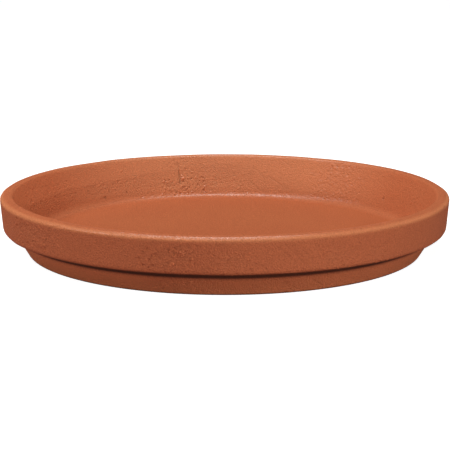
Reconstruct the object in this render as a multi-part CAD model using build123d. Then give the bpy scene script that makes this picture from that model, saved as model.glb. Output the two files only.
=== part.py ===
from build123d import *
import os

# Round terracotta plant saucer, pressed and fired in one piece.
# Lengths are in millimetres. +Z is up, and the origin is the middle of the face it rests on.

# Overall size
collar_diameter = 355.6  # across the collar at its top edge, before the edge is rounded
saucer_height = 45.8  # from the ground to the top of the lip

# Collar and lip: the thick band round the outside, and its flat top, which slopes down to the collar
collar_height = 27.6  # from the collar's lower edge to the top of the lip
collar_draft = 2.0  # how far the collar's lower edge stands in from its top edge, on the radius
lip_width = 9.8  # from the well's edge to the collar's top edge
lip_slope_width = 3.6  # the part of it that slopes down
lip_slope_drop = 2.4
lip_inner_round = 2.5
lip_crown_round = 3.0
lip_outer_round = 2.0
collar_lower_round = 3.5

# Well: the hollow that the pot stands in
wall_lean = 14.6  # how far the wall's foot stands in from the lip's inner edge, on the radius
floor_height = 9.7  # of the well's floor above the ground
well_fillet = 8.5

# Foot: the cone under the collar
collar_overhang = 8.4  # how far the collar's lower edge stands out past the foot, on the radius
foot_taper = 10.9  # how far the foot's lower edge stands in from its top, on the radius
under_collar_fillet = 0.8
foot_edge_round = 1.5

# Underside: a flat ring to rest on, around a shallow recess
foot_ring_width = 18.0
recess_depth = 1.5
recess_slope_width = 3.0  # width of the slope between the ring and the recess
foot_ring_round = 2.0
recess_fillet = 2.0


def saucer_outline():
    """Corners of half a slice through the saucer, from the well's middle round to the underside's."""
    collar_radius = collar_diameter / 2
    collar_lower_radius = collar_radius - collar_draft
    collar_lower_height = saucer_height - collar_height
    lip_inner_radius = collar_radius - lip_width
    foot_top_radius = collar_lower_radius - collar_overhang
    foot_radius = foot_top_radius - foot_taper
    ring_inner_radius = foot_radius - foot_ring_width
    return [
        (0, floor_height),
        (lip_inner_radius - wall_lean, floor_height),
        (lip_inner_radius, saucer_height),
        (collar_radius - lip_slope_width, saucer_height),
        (collar_radius, saucer_height - lip_slope_drop),
        (collar_lower_radius, collar_lower_height),
        (foot_top_radius, collar_lower_height),
        (foot_radius, 0),
        (ring_inner_radius, 0),
        (ring_inner_radius - recess_slope_width, recess_depth),
        (0, recess_depth),
    ]


def saucer_roundings():
    """Radius at each corner of the outline between its two ends."""
    return [
        well_fillet,
        lip_inner_round,
        lip_crown_round,
        lip_outer_round,
        collar_lower_round,
        under_collar_fillet,
        foot_edge_round,
        foot_ring_round,
        recess_fillet,
    ]


def make_saucer():
    """The whole saucer: its slice turned once about the upright axis."""
    corners = saucer_outline()
    with BuildPart() as saucer:
        with BuildSketch(Plane.XZ):
            with BuildLine():
                FilletPolyline(*corners, radius=saucer_roundings())
                Line(corners[-1], corners[0])
            make_face()
        revolve(axis=Axis.Z)
    return saucer.part


os.makedirs("parts", exist_ok=True)
export_step(make_saucer(), "parts/saucer.step")
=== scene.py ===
import bmesh
import bpy
import math
import numpy as np
import random
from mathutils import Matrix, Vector


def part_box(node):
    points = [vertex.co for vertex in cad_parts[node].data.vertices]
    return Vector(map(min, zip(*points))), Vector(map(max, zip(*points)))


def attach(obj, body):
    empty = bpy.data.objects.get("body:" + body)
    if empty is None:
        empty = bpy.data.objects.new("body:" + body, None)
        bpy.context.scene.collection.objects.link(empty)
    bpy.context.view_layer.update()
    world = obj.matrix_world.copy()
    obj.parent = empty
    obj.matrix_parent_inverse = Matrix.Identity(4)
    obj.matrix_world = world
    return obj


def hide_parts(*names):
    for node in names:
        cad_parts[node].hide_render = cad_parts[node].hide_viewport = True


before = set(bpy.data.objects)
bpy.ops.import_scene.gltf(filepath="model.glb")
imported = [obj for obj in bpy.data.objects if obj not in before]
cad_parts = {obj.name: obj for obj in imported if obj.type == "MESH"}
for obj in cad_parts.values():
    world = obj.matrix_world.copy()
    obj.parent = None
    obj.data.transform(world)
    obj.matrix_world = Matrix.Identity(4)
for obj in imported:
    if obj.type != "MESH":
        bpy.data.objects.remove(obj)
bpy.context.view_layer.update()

MM = 0.001
TINY = MM / 100  # places nearer than this count as one

# Sizes of the saucer, in metres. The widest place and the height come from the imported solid.
_, saucer_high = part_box("saucer")
widest_radius = saucer_high[0]
saucer_height = saucer_high[2]

collar_height = 27.6 * MM
collar_draft = 2.0 * MM
lip_width = 9.8 * MM
lip_slope_width = 3.6 * MM
lip_slope_drop = 2.4 * MM
lip_inner_round = 2.5 * MM
lip_crown_round = 3.0 * MM
lip_outer_round = 2.0 * MM
collar_lower_round = 3.5 * MM
wall_lean = 14.6 * MM
floor_height = 9.7 * MM
well_fillet = 8.5 * MM
collar_overhang = 8.4 * MM
foot_taper = 10.9 * MM
under_collar_fillet = 0.8 * MM
foot_edge_round = 1.5 * MM
foot_ring_width = 18.0 * MM
recess_depth = 1.5 * MM
recess_slope_width = 3.0 * MM
foot_ring_round = 2.0 * MM
recess_fillet = 2.0 * MM

# Rounding the collar's top edge takes a little of its width off.
draft_angle = math.atan(collar_draft / (collar_height - lip_slope_drop))
slope_angle = math.atan(lip_slope_drop / lip_slope_width)
edge_reach = (math.sin(draft_angle) + math.cos(slope_angle)) / math.cos(slope_angle - draft_angle)
collar_radius = widest_radius + lip_outer_round * (edge_reach - 1)
collar_top_height = saucer_height - lip_slope_drop
collar_lower_radius = collar_radius - collar_draft
collar_lower_height = saucer_height - collar_height
lip_inner_radius = collar_radius - lip_width
wall_foot_radius = lip_inner_radius - wall_lean
foot_top_radius = collar_lower_radius - collar_overhang
foot_radius = foot_top_radius - foot_taper
ring_inner_radius = foot_radius - foot_ring_width
recess_radius = ring_inner_radius - recess_slope_width

# How finely the clay is divided
turn_steps = 420
rounding_steps = 5
wall_spacing = 2.4 * MM
flat_spacing = 12.0 * MM
mark_cuts = 3
mark_margin = 1.2 * MM  # how far past a stroke the fine division goes

# Faces that carry marks, by the radius and height of each one's lower and upper edge
faces = {
    "wall": ((wall_foot_radius, floor_height), (lip_inner_radius, saucer_height)),
    "collar": ((collar_lower_radius, collar_lower_height), (collar_radius, collar_top_height)),
    "foot": ((foot_radius, 0), (foot_top_radius, collar_lower_height)),
}
face_reach = 1.5 * MM  # points nearer than this to a face, along the radius, are on it

# Marks in the clay. Each has its face and then its place, in degrees round from the camera's side
# and in millimetres up.
# Rough patches tore a little as the clay left the mould. The last three are a patch's width,
# its height and how deeply it tore, at most 1.
rough_patches = [
    ("wall", -166, 19.5, 44, 18, 1.0),
    ("wall", -166, 37, 22, 14, 0.5),
    ("wall", -157, 18, 36, 15, 0.4),
    ("wall", -148, 25, 20, 12, 0.35),
    ("wall", -138, 23, 40, 15, 0.5),
    ("wall", -118, 27, 44, 20, 0.5),
    ("wall", -104, 30, 36, 18, 0.6),
    ("wall", 179, 21, 40, 18, 0.5),
    ("wall", 146, 24, 34, 22, 0.4),
    ("wall", 142, 35, 24, 18, 0.45),
    ("wall", 136, 24, 28, 20, 0.4),
    ("wall", 104, 33, 44, 20, 0.5),
    ("wall", 25, 25, 40, 18, 0.6),
    ("wall", -60, 28, 34, 16, 0.6),
    ("collar", -53, 32, 52, 18, 0.8),
    ("collar", -14, 29, 34, 18, 1.0),
    ("collar", -9, 34, 18, 15, 1.0),
    ("collar", 2, 28, 32, 18, 0.6),
    ("collar", 27, 28, 32, 18, 0.6),
    ("collar", 38, 26, 22, 14, 0.7),
    ("collar", 118, 30, 46, 16, 0.5),
    ("collar", -150, 29, 40, 18, 0.35),
    ("foot", -16, 9, 20, 12, 0.5),
    ("foot", -6, 8, 30, 12, 0.4),
    ("foot", 140, 9, 30, 11, 0.5),
]

# Scratches, drag marks and pits. After its first place, each has its last place,
# its half width and its depth in millimetres, at most 1.
sunk_strokes = [
    ("wall", -165, 40, -165.1, 33, 0.8, 0.4),
    ("wall", -165.1, 33, -165.2, 23.5, 0.9, 0.9),
    ("wall", -166, 24.5, -166, 24, 1.1, 0.9),
    ("wall", -165, 22.5, -165.2, 22.5, 1.0, 0.8),
    ("wall", -146, 18, -146, 18, 1.2, 0.7),
    ("wall", -137.5, 16.5, -137, 16.5, 1.3, 0.7),
    ("wall", 120.5, 22.5, 120.5, 22, 1.3, 0.7),
    ("wall", 172, 24, 168, 15, 0.7, 0.2),
    ("wall", 165, 27, 157, 15.5, 0.7, 0.25),
    ("wall", 161.5, 42.5, 158, 36, 0.7, 0.2),
    ("wall", 171, 36, 167.5, 28.5, 0.7, 0.2),
    ("collar", 11.5, 39.5, 16, 27, 0.7, 0.2),
    ("collar", 13.5, 40, 18.5, 25, 0.7, 0.25),
    ("collar", 15, 38.5, 19, 26, 0.7, 0.2),
    ("collar", 17, 37, 20, 28.5, 0.7, 0.2),
    ("collar", 7.5, 28, 9.5, 22.5, 0.7, 0.2),
    ("collar", 152, 39, 155, 25, 0.7, 0.25),
    ("collar", -98, 36, -95, 28, 0.7, 0.25),
    ("foot", 14, 13, 17, 3, 0.7, 0.2),
    ("foot", 22, 10.5, 25, 4.5, 0.7, 0.2),
    ("foot", 41.5, 10.5, 41.5, 10.5, 0.9, 0.5),
    ("foot", 42.5, 10.5, 42.5, 10.5, 0.8, 0.4),
    ("foot", 17.5, 4.5, 18, 4.5, 0.9, 0.4),
]
# Grains and smears that stand out, in the same way
raised_strokes = [
    ("collar", -44, 35.5, -42.5, 31, 0.9, 0.25),
    ("collar", -42.5, 31, -40, 26, 0.9, 0.3),
    ("collar", -40, 26, -38.5, 24, 0.9, 0.2),
    ("collar", -30.5, 38, -30.5, 37.5, 1.1, 0.5),
    ("collar", -22, 37, -22, 37, 1.0, 0.25),
    ("collar", -12, 25.5, -11.5, 26.5, 1.2, 0.8),
    ("collar", -0.5, 39.5, -0.5, 39.5, 0.9, 0.2),
    ("wall", -145.5, 37, -145.5, 37, 1.3, 0.5),
    ("wall", -166.5, 26.5, -166, 26.5, 1.2, 0.9),
    ("wall", 143.5, 40, 143.5, 40, 1.5, 0.4),
    ("wall", 133, 16.5, 133, 16.5, 1.4, 0.4),
    ("wall", 115.5, 35.5, 115.5, 35, 1.2, 0.25),
    ("foot", 28.5, 3.5, 28.5, 3.5, 1.1, 0.4),
]
shortest_stroke = 0.1 * MM

# Specks in the rough patches, in millimetres: their spacing, and the least and most of each measure
speck_spacing = 4
speck_half_widths = (0.65, 1.1)
speck_depths = (0.3, 1.0)
speck_tone = 1 / 3  # how much a speck's relief changes the clay's tone, against a stroke's

# The torn skin of the patches, and a slow sway of the whole skin above the foot's lower edge
rough_size = 1.3 * MM
rough_depth = 0.3 * MM
sway_size = 45 * MM
sway_depth = 0.35 * MM
sway_start = 2 * MM
sway_rise = 8 * MM
texture_middle = 0.5
texture_contrast = 2.0
least_weight = 0.004  # points pushed by a smaller share than this stay where they are

# Sizes of the clay's pattern. Real grit is about half as coarse, and is drawn larger so that it shows.
cloud_size = 60 * MM
grit_size = 1.1 * MM
grit_depth = 1.1 * MM
leather_size = 2.6 * MM
leather_depth = 0.5 * MM
patch_size = 35 * MM
# Where the painted shade under the collar lies: past this radius, and down to this height with this fade
crease_shade_radius = (foot_radius + foot_top_radius) / 2
crease_shade_low = 13.1 * MM
crease_shade_fade = 1.5 * MM
# Height of the painted light band round the edge of the well's floor
band_light_height = 4.0 * MM
# Height of the painted shade along the foot's lower edge
contact_shade_height = 1.4 * MM

# Tones of the clay and of the light and shade painted on it, and how much of each one shows where it lies
deep_clay = "#B2613F"
light_clay = "#B96944"
pale_clay = "#FFBE8C"
# Tone of the painted sheen on the lip's outer edge
lip_sheen_clay = "#FFB47C"
# Tone of the painted warm light on the foot
foot_bounce_clay = "#F28B58"
# Tone of the painted shade under the collar and along the foot's lower edge
shade_tone = "#140602"
# Painted light on the back half of the wall: how much, and where across the saucer it starts
lit_back_share = 0.2
lit_back_from = 0.4  # of the collar's radius
torn_share = 0.02
# Share of the painted sheen on the lip's outer edge
lip_sheen_share = 0.17
# Share of the painted light band round the well's floor
band_light_share = 0.03
# Share of the painted warm light on the foot
foot_bounce_share = 0.26
# Share of the painted shade under the collar and along the foot's lower edge
shade_share = 0.85

# Spans of a pattern or of the relief, and what each span turns into
grit_span, grit_tones = (0.3, 0.7), (0.85, 1.15)
relief_span, relief_tones = (-0.8, 0.8), (0.65, 1.35)
leather_span, leather_shares = (0.42, 0.66), (0.35, 1.0)
torn_span, grain_shares = (0.0, 0.7), (0.75, 0.9)
burnish_shares = (0.03, 0.12)  # on the well's floor, and everywhere else

# The studio: its floor and backdrop, and how far off its lamps stand, in metres
white = "#FFFFFF"
floor_bounce = "#8E645D"
floor_sheet = "#BBBBBB"
floor_size = 8.0
floor_gleam = 0.15
glow_span, glow_strengths = (0.2, 0.7), (0.93, 1.0)
backdrop_gleam = 0.06
backdrop_fill = 0.02
lamp_distance = 1.6
overhead_distance = 1.07
lamp_aim = 0.6  # of the saucer's height

# The camera: where it stands, how far it looks down, and its lens
camera_back = 1080.9 * MM
camera_height = 249.5 * MM
camera_tilt = math.radians(12.175)
camera_aside = 0.3 * MM
lens_mm = 109.97


def deselect_everything():
    bpy.ops.object.select_all(action="DESELECT")


def pick(piece, part, test):
    """In edit mode, selects the vertices, edges or faces that pass a test, and nothing else."""
    bpy.ops.mesh.select_mode(type={"verts": "VERT", "edges": "EDGE", "faces": "FACE"}[part])
    bpy.ops.mesh.select_all(action="DESELECT")
    mesh = bmesh.from_edit_mesh(piece.data)
    for element in getattr(mesh, part):
        if test(element):
            element.select_set(True)
    bmesh.update_edit_mesh(piece.data)


def outline_corners():
    """Corners of half a slice, from the well's middle round to the underside's, with each rounding."""
    return [
        (0, floor_height, 0),
        (wall_foot_radius, floor_height, well_fillet),
        (lip_inner_radius, saucer_height, lip_inner_round),
        (collar_radius - lip_slope_width, saucer_height, lip_crown_round),
        (collar_radius, collar_top_height, lip_outer_round),
        (collar_lower_radius, collar_lower_height, collar_lower_round),
        (foot_top_radius, collar_lower_height, under_collar_fillet),
        (foot_radius, 0, foot_edge_round),
        (ring_inner_radius, 0, foot_ring_round),
        (recess_radius, recess_depth, recess_fillet),
        (0, recess_depth, 0),
    ]


def draw_outline():
    """The half slice as a chain of edges: one vertex drawn out corner by corner, then rounded."""
    corners = outline_corners()
    deselect_everything()
    bpy.ops.mesh.primitive_plane_add(size=lip_width, location=(0, 0, 0))
    piece = bpy.context.object
    bpy.ops.object.mode_set(mode="EDIT")
    bpy.ops.mesh.merge(type="CENTER")
    bpy.ops.transform.translate(value=(corners[0][0], 0, corners[0][1]))
    for (radius, height, _), (next_radius, next_height, _) in zip(corners, corners[1:]):
        step = (next_radius - radius, 0, next_height - height)
        bpy.ops.mesh.extrude_vertices_move(TRANSFORM_OT_translate={"value": step})
    for before, corner, after in zip(corners, corners[1:], corners[2:]):
        place = Vector((corner[0], 0, corner[1]))
        back = Vector((before[0], 0, before[1])) - place
        ahead = Vector((after[0], 0, after[1])) - place
        reach = corner[2] / math.tan(back.angle(ahead) / 2)
        pick(piece, "verts", lambda vertex: (vertex.co - place).length < TINY)
        bpy.ops.mesh.bevel(offset=reach, offset_type="OFFSET", affect="VERTICES", segments=rounding_steps)
    return piece


def middle_of(edge):
    return (edge.verts[0].co + edge.verts[1].co) / 2


def divide_outline(piece):
    """Cuts each long edge of the slice into short ones: fine on the faces that show, coarse on the rest."""
    mesh = bmesh.from_edit_mesh(piece.data)
    spans = [(edge.verts[0].co.copy(), edge.verts[1].co.copy()) for edge in mesh.edges]
    for start, end in spans:
        level = abs(start.z - end.z) < TINY
        on_top = max(start.z, end.z) > saucer_height - TINY
        spacing = flat_spacing if level and not on_top else wall_spacing
        cuts = math.ceil((end - start).length / spacing) - 1
        if cuts < 1:
            continue
        middle = (start + end) / 2
        pick(piece, "edges", lambda edge: (middle_of(edge) - middle).length < TINY)
        bpy.ops.mesh.subdivide(number_cuts=cuts)


def apply_modifier(piece, kind, **settings):
    """Adds one modifier with its settings and applies it."""
    deselect_everything()
    piece.select_set(True)
    bpy.context.view_layer.objects.active = piece
    modifier = piece.modifiers.new(kind.lower(), kind)
    for name, value in settings.items():
        setattr(modifier, name, value)
    bpy.ops.object.modifier_apply(modifier=modifier.name)


def turn_slice(piece):
    """Turns the slice once about the upright axis and closes it on itself."""
    bpy.ops.object.mode_set(mode="OBJECT")
    apply_modifier(piece, "SCREW", axis="Z", angle=2 * math.pi, screw_offset=0, steps=turn_steps,
                   render_steps=turn_steps, use_merge_vertices=True, merge_threshold=TINY)
    bpy.ops.object.mode_set(mode="EDIT")
    bpy.ops.mesh.select_all(action="SELECT")
    bpy.ops.mesh.remove_doubles(threshold=TINY)
    bpy.ops.mesh.normals_make_consistent(inside=False)
    bpy.ops.object.mode_set(mode="OBJECT")


def middle_radius(face):
    (low_radius, _), (high_radius, _) = faces[face]
    return (low_radius + high_radius) / 2


def strewn_specks(seed):
    """Single grains or pits over the rough patches: short strokes, each at a place drawn by chance."""
    draw = random.Random(seed)
    specks = []
    for face, azimuth, height, width, rise, tear in rough_patches:
        for _ in range(round(width * rise / speck_spacing ** 2)):
            aside = math.degrees(draw.uniform(-width, width) * MM / 2 / middle_radius(face))
            up = height + draw.uniform(-rise, rise) / 2
            place = (azimuth + aside, up)
            half_width = draw.uniform(*speck_half_widths)
            depth = draw.uniform(*speck_depths) * tear
            specks.append((face, *place, *place, half_width, depth))
    return specks


def places_on(points):
    """For each face: which of the points are on it, and how far round and how high they lie."""
    azimuths = np.arctan2(points[:, 0], -points[:, 1])
    radii = np.hypot(points[:, 0], points[:, 1])
    heights = points[:, 2]
    places = {}
    for face, ((low_radius, low_height), (high_radius, high_height)) in faces.items():
        shares = (heights - low_height) / (high_height - low_height)
        expected = low_radius + shares * (high_radius - low_radius)
        on_face = np.nonzero((np.abs(radii - expected) < face_reach) & (shares > 0) & (shares < 1))[0]
        places[face] = (on_face, azimuths[on_face], heights[on_face])
    return places


def around(azimuths, azimuth, radius):
    """Distance round the saucer from a mark's azimuth to each point's, the short way."""
    turns = (azimuths - math.radians(azimuth) + math.pi) % (2 * math.pi) - math.pi
    return turns * radius


def patch_weights(points):
    """How rough each point is, from 0 to 1: most in the middle of a rough patch."""
    weights = np.zeros(len(points))
    places = places_on(points)
    for face, azimuth, height, width, rise, tear in rough_patches:
        on_face, azimuths, heights = places[face]
        aside = around(azimuths, azimuth, middle_radius(face)) / (width * MM / 2)
        above = (heights - height * MM) / (rise * MM / 2)
        nearness = np.clip(1 - (aside ** 2 + above ** 2), 0, 1) * tear
        weights[on_face] = np.maximum(weights[on_face], nearness)
    return weights


def stroke_weights(points, strokes, margin=0):
    """How much each point is pushed, from 0 to 1: most along the middle of a stroke."""
    weights = np.zeros(len(points))
    places = places_on(points)
    for face, azimuth, height, end_azimuth, end_height, half_width, depth in strokes:
        on_face, azimuths, heights = places[face]
        aside = around(azimuths, azimuth, middle_radius(face))
        above = heights - height * MM
        run = math.radians(end_azimuth - azimuth) * middle_radius(face)
        rise = (end_height - height) * MM
        length_squared = max(run ** 2 + rise ** 2, shortest_stroke ** 2)
        along = np.clip((aside * run + above * rise) / length_squared, 0, 1)
        gap = np.hypot(aside - along * run, above - along * rise)
        nearness = np.clip(1 - (gap / (half_width * MM + margin)) ** 2, 0, 1) * depth
        weights[on_face] = np.maximum(weights[on_face], nearness)
    return weights


def divide_marks(piece, strokes):
    """Divides the clay finely where it carries marks, so that they can be pressed into its surface."""
    centres = np.empty(len(piece.data.polygons) * 3)
    piece.data.polygons.foreach_get("center", centres)
    centres = centres.reshape(-1, 3)
    marked = patch_weights(centres) + stroke_weights(centres, strokes, mark_margin)
    bpy.ops.object.mode_set(mode="EDIT")
    pick(piece, "faces", lambda face: marked[face.index] > 0)
    bpy.ops.mesh.subdivide(number_cuts=mark_cuts)
    bpy.ops.object.mode_set(mode="OBJECT")


def press(piece, name, weights, depth, texture=None, level=0.0):
    """Pushes the surface out by a depth, or in by a negative one, where the weights say.

    With a texture, its value less the level is the share of the depth."""
    group = piece.vertex_groups.new(name=name)
    for index in np.nonzero(weights > least_weight)[0]:
        group.add([int(index)], float(weights[index]), "REPLACE")
    apply_modifier(piece, "DISPLACE", strength=depth, mid_level=level, texture=texture,
                   texture_coords="LOCAL", vertex_group=name)


def press_pattern(piece, name, weights, depth, size):
    """Pushes the surface in and out by chance, in lumps of a size, where the weights say."""
    texture = bpy.data.textures.new(name, "CLOUDS")
    texture.noise_scale = size
    texture.noise_depth = 1
    texture.contrast = texture_contrast
    press(piece, name, weights, depth, texture, texture_middle)


def points_of(piece):
    points = np.empty(len(piece.data.vertices) * 3)
    piece.data.vertices.foreach_get("co", points)
    return points.reshape(-1, 3)


def keep_values(piece, name, values):
    """Keeps a value for each point of the piece, for its material to read."""
    piece.data.attributes.new(name, "FLOAT", "POINT").data.foreach_set("value", values)


def make_saucer():
    """The clay body: turned, then marked as pressing and handling marked it."""
    piece = draw_outline()
    divide_outline(piece)
    turn_slice(piece)
    pits = strewn_specks(1)
    grains = strewn_specks(2)
    divide_marks(piece, sunk_strokes + raised_strokes + pits + grains)
    points = points_of(piece)
    rough = patch_weights(points)
    strokes = stroke_weights(points, raised_strokes) - stroke_weights(points, sunk_strokes)
    specks = stroke_weights(points, grains) - stroke_weights(points, pits)
    sway = np.clip((points[:, 2] - sway_start) / sway_rise, 0, 1)
    press_pattern(piece, "sway", sway, sway_depth, sway_size)
    press_pattern(piece, "rough", rough, rough_depth, rough_size)
    press(piece, "sunk", np.maximum(-strokes, -specks), -MM)
    press(piece, "raised", np.maximum(strokes, specks), MM)
    keep_values(piece, "torn_skin", rough)
    keep_values(piece, "relief", strokes + specks * speck_tone)
    bpy.ops.object.shade_smooth()
    piece.name = "saucer_clay"
    piece.data.name = "saucer_clay"
    return piece


def linear(hex_colour):
    """An sRGB hex colour as the linear colour that a shader takes."""
    channels = [int(hex_colour[k:k + 2], 16) / 255 for k in (1, 3, 5)]
    curve = [c / 12.92 if c <= 0.04045 else ((c + 0.055) / 1.055) ** 2.4 for c in channels]
    return (*curve, 1.0)


def add_node(tree, kind, links=None, **settings):
    """Adds a node, gives its options and sockets their settings, and links its inputs."""
    node = tree.nodes.new(kind)
    for name, value in settings.items():
        setattr(node, name, value)
    for socket, source in (links or {}).items():
        if hasattr(source, "is_output"):
            tree.links.new(source, node.inputs[socket])
        else:
            node.inputs[socket].default_value = source
    return node


def noise(tree, place, size, detail):
    """Lumps of a size, by chance."""
    links = {"Vector": place, "Scale": 1 / size, "Detail": detail}
    return add_node(tree, "ShaderNodeTexNoise", links).outputs["Fac"]


def ramp(tree, value, start, end, low, high):
    """Low where the value is at the start, high where it is at the end, even between and level beyond."""
    return add_node(tree, "ShaderNodeMapRange", {0: value, 1: start, 2: end, 3: low, 4: high}).outputs[0]


def blend(tree, share, under, over, kind="MIX"):
    """One colour laid over another by a share."""
    return add_node(tree, "ShaderNodeMix", {0: share, 6: under, 7: over},
                    data_type="RGBA", blend_type=kind).outputs[2]


def work_out(tree, operation, *values):
    """One sum or comparison of values."""
    return add_node(tree, "ShaderNodeMath", dict(enumerate(values)), operation=operation).outputs[0]


def terracotta():
    """Unglazed pressed terracotta: matte orange-brown clay with a dry, gritty, faintly uneven skin, with some
    light and shade painted into its colour.
    """
    material = bpy.data.materials.new("unglazed_terracotta")
    material.use_nodes = True
    tree = material.node_tree
    shader = tree.nodes["Principled BSDF"]
    place = add_node(tree, "ShaderNodeTexCoord").outputs["Object"]
    across = add_node(tree, "ShaderNodeSeparateXYZ", {0: place}).outputs
    height = across["Z"]
    level = add_node(tree, "ShaderNodeVectorMath", {0: place, 1: (1, 1, 0)}, operation="MULTIPLY").outputs[0]
    radius = add_node(tree, "ShaderNodeVectorMath", {0: level}, operation="LENGTH").outputs["Value"]
    relief = add_node(tree, "ShaderNodeAttribute", attribute_name="relief").outputs["Fac"]
    torn = add_node(tree, "ShaderNodeAttribute", attribute_name="torn_skin").outputs["Fac"]
    # Broad clouds of paler and deeper clay, as iron and firing leave them.
    clouds = noise(tree, place, cloud_size, 3.0)
    clay = blend(tree, clouds, linear(deep_clay), linear(light_clay))
    # Grit in the clay body, a shade darker or paler from grain to grain.
    grit = noise(tree, place, grit_size, 2.0)
    clay = blend(tree, 1.0, clay, ramp(tree, grit, *grit_span, *grit_tones), "MULTIPLY")
    # Pits and scratches are painted darker and raised grains paler: painted shade and light on the relief.
    clay = blend(tree, 1.0, clay, ramp(tree, relief, *relief_span, *relief_tones), "MULTIPLY")
    # The back half of the wall is painted paler: painted light standing in for the light that falls on it.
    # The torn skin is a little paler too.
    wall = ramp(tree, height, floor_height, floor_height + well_fillet, 0.0, lit_back_share)
    lit_back_wall = ramp(tree, across["Y"], lit_back_from * collar_radius, collar_radius, 0.0, wall)
    torn_and_lit_pale = work_out(tree, "MULTIPLY_ADD", torn, torn_share, lit_back_wall)
    clay = blend(tree, torn_and_lit_pale, clay, linear(pale_clay))
    # The lip's outer edge is painted paler: a painted sheen where light falls on its rounding.
    slope_start = collar_radius - lip_slope_width
    edge = ramp(tree, radius, slope_start, slope_start + lip_slope_width / 2, 0.0, lip_sheen_share)
    lip_sheen = ramp(tree, height, collar_top_height - lip_outer_round, collar_top_height, 0.0, edge)
    clay = blend(tree, lip_sheen, clay, linear(lip_sheen_clay))
    # A pale band is painted round the edge of the well's floor: painted light on the rounding there.
    above_floor = ramp(tree, height, floor_height + band_light_height, floor_height + band_light_height / 3,
                       0.0, band_light_share)
    band_light = ramp(tree, radius, wall_foot_radius - well_fillet / 2, wall_foot_radius - well_fillet / 4,
                0.0, above_floor)
    clay = blend(tree, band_light, clay, linear(pale_clay))
    # The foot is painted a brighter red: painted warm light, standing in for light thrown up onto it from
    # below.
    low = ramp(tree, height, crease_shade_low, crease_shade_low - crease_shade_fade, 0.0, foot_bounce_share)
    foot = ramp(tree, radius, wall_foot_radius, foot_radius, 0.0, low)
    clay = blend(tree, foot, clay, linear(foot_bounce_clay))
    # Painted shade darkens the foot's top in the corner under the collar, and draws a dark line along the
    # collar's lower edge.
    outside = work_out(tree, "GREATER_THAN", radius, crease_shade_radius)
    from_above = ramp(tree, height, collar_lower_height + crease_shade_fade, collar_lower_height, 0.0, outside)
    from_below = ramp(tree, height, crease_shade_low, crease_shade_low + crease_shade_fade, 0.0, 1.0)
    crease_shade = work_out(tree, "MULTIPLY", from_below, from_above)
    # Painted shade darkens the foot's lower edge, where it meets the ground.
    near_edge = work_out(tree, "GREATER_THAN", radius, foot_radius - foot_edge_round)
    contact_shade = ramp(tree, height, contact_shade_height, contact_shade_height / 3, 0.0, near_edge)
    # Both painted shades darken the clay by one share.
    painted_shade = work_out(tree, "MULTIPLY", work_out(tree, "MAXIMUM", crease_shade, contact_shade), shade_share)
    clay = blend(tree, painted_shade, clay, linear(shade_tone))
    tree.links.new(clay, shader.inputs["Base Color"])
    # The skin is leathery in places and smoother in others, with the grit showing through all over.
    leathery = ramp(tree, noise(tree, place, patch_size, 1.0), *leather_span, *leather_shares)
    leather = noise(tree, place, leather_size, 2.0)
    skin = add_node(tree, "ShaderNodeBump", {
        "Strength": leathery, "Distance": leather_depth, "Height": leather}).outputs[0]
    coarse = ramp(tree, torn, *torn_span, *grain_shares)
    grain = add_node(tree, "ShaderNodeBump", {
        "Strength": coarse, "Distance": grit_depth, "Height": grit, "Normal": skin}).outputs[0]
    tree.links.new(grain, shader.inputs["Normal"])
    shader.inputs["Roughness"].default_value = 0.5
    shader.inputs["Specular IOR Level"].default_value = 0.0
    # Pressing burnishes the clay a little, and least on the flat floor. It gives the edges a soft pale gleam.
    burnish = ramp(tree, radius, wall_foot_radius - well_fillet, wall_foot_radius - well_fillet / 2,
                   *burnish_shares)
    tree.links.new(burnish, shader.inputs["Coat Weight"])
    shader.inputs["Coat IOR"].default_value = 2.5
    shader.inputs["Coat Roughness"].default_value = 0.28
    tree.links.new(skin, shader.inputs["Coat Normal"])
    return material


def seen_share(tree, gleam):
    """How far the studio's white shows: fully to the eye, a little in a gleam, and not in other light."""
    path = add_node(tree, "ShaderNodeLightPath").outputs
    glossy = work_out(tree, "MULTIPLY", path["Is Glossy Ray"], gleam)
    seen = work_out(tree, "MAXIMUM", path["Is Camera Ray"], glossy)
    return work_out(tree, "MAXIMUM", seen, path["Is Transmission Ray"])


def studio_floor():
    """A plain level floor: white to the eye, and a dull warm surface to the light it throws back."""
    deselect_everything()
    bpy.ops.mesh.primitive_plane_add(size=floor_size, location=(0, 0, 0))
    floor = bpy.context.object
    floor.name = "studio_floor"
    material = bpy.data.materials.new("studio_floor")
    material.use_nodes = True
    tree = material.node_tree
    tree.nodes.remove(tree.nodes["Principled BSDF"])
    output = tree.nodes["Material Output"]
    seen = seen_share(tree, floor_gleam)
    bounce = add_node(tree, "ShaderNodeBsdfDiffuse", {"Color": linear(floor_bounce)}).outputs[0]
    place = add_node(tree, "ShaderNodeTexCoord").outputs["Object"]
    reach = add_node(tree, "ShaderNodeVectorMath", {0: place}, operation="LENGTH").outputs["Value"]
    light = ramp(tree, reach, *glow_span, *glow_strengths)
    glow = add_node(tree, "ShaderNodeEmission", {"Color": linear(white), "Strength": light}).outputs[0]
    sheet = add_node(tree, "ShaderNodeBsdfDiffuse", {"Color": linear(floor_sheet)}).outputs[0]
    bright = add_node(tree, "ShaderNodeAddShader", {0: glow, 1: sheet}).outputs[0]
    mix = add_node(tree, "ShaderNodeMixShader", {0: seen, 1: bounce, 2: bright}).outputs[0]
    tree.links.new(mix, output.inputs["Surface"])
    floor.data.materials.append(material)


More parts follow.
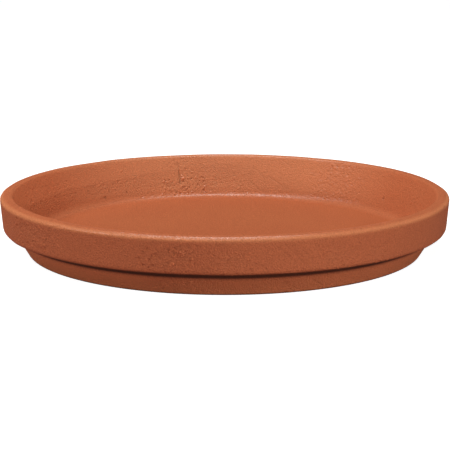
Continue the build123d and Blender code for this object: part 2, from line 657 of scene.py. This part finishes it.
def softbox(name, azimuth, elevation, width, height, watts, distance=lamp_distance, gleams=False):
    """An area lamp aimed at the saucer, which may gleam on it.

    Azimuth and elevation are in degrees. Azimuth 0 is the camera's side, and 90 its right."""
    lamp = bpy.data.lights.new(name, "AREA")
    lamp.shape = "RECTANGLE"
    lamp.size = width
    lamp.size_y = height
    lamp.energy = watts
    piece = bpy.data.objects.new(name, lamp)
    bpy.context.scene.collection.objects.link(piece)
    turn = math.radians(azimuth)
    rise = math.radians(elevation)
    away = Vector((math.sin(turn) * math.cos(rise), -math.cos(turn) * math.cos(rise), math.sin(rise)))
    piece.visible_glossy = gleams
    piece.location = Vector((0, 0, saucer_height * lamp_aim)) + away * distance
    piece.rotation_euler = away.to_track_quat("Z", "Y").to_euler()


def studio_light():
    """The lamps, with most light from above and from the left, and a plain white backdrop."""
    softbox("overhead_box", 190, 79, 0.62, 0.25, 7.6, overhead_distance, gleams=True)
    softbox("overhead_sheet", 0, 74, 0.8, 0.8, 1.2, overhead_distance)
    softbox("high_left_box", -90, 51, 0.4, 0.4, 5.2, gleams=True)
    softbox("front_high_box", 4, 40, 0.3, 0.3, 4.5)
    softbox("front_box", 10, 8, 0.15, 0.15, 6.0)
    softbox("front_right_box", 30, 8, 0.15, 0.15, 2.0)
    softbox("right_box", 60, 26, 0.15, 0.15, 2.0)
    softbox("low_right_strip", 72, 3.4, 0.06, 0.012, 3.6)
    softbox("left_box", -92, 8, 0.15, 0.15, 9.6)
    world = bpy.data.worlds.new("studio")
    bpy.context.scene.world = world
    world.use_nodes = True
    tree = world.node_tree
    backdrop = tree.nodes["Background"]
    strength = work_out(tree, "MAXIMUM", seen_share(tree, backdrop_gleam), backdrop_fill)
    tree.links.new(strength, backdrop.inputs["Strength"])
    backdrop.inputs["Color"].default_value = linear(white)


def photo_camera():
    """A camera where the photograph's stood."""
    lens = bpy.data.cameras.new("photo_camera")
    lens.lens = lens_mm
    camera = bpy.data.objects.new("photo_camera", lens)
    bpy.context.scene.collection.objects.link(camera)
    camera.location = (camera_aside, -camera_back, camera_height)
    camera.rotation_euler = (math.pi / 2 - camera_tilt, 0, 0)
    bpy.context.scene.camera = camera


saucer = make_saucer()
saucer.data.materials.append(terracotta())
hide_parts("saucer")
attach(saucer, "root")

studio_floor()
studio_light()
photo_camera()
bpy.context.scene.view_settings.view_transform = "Standard"
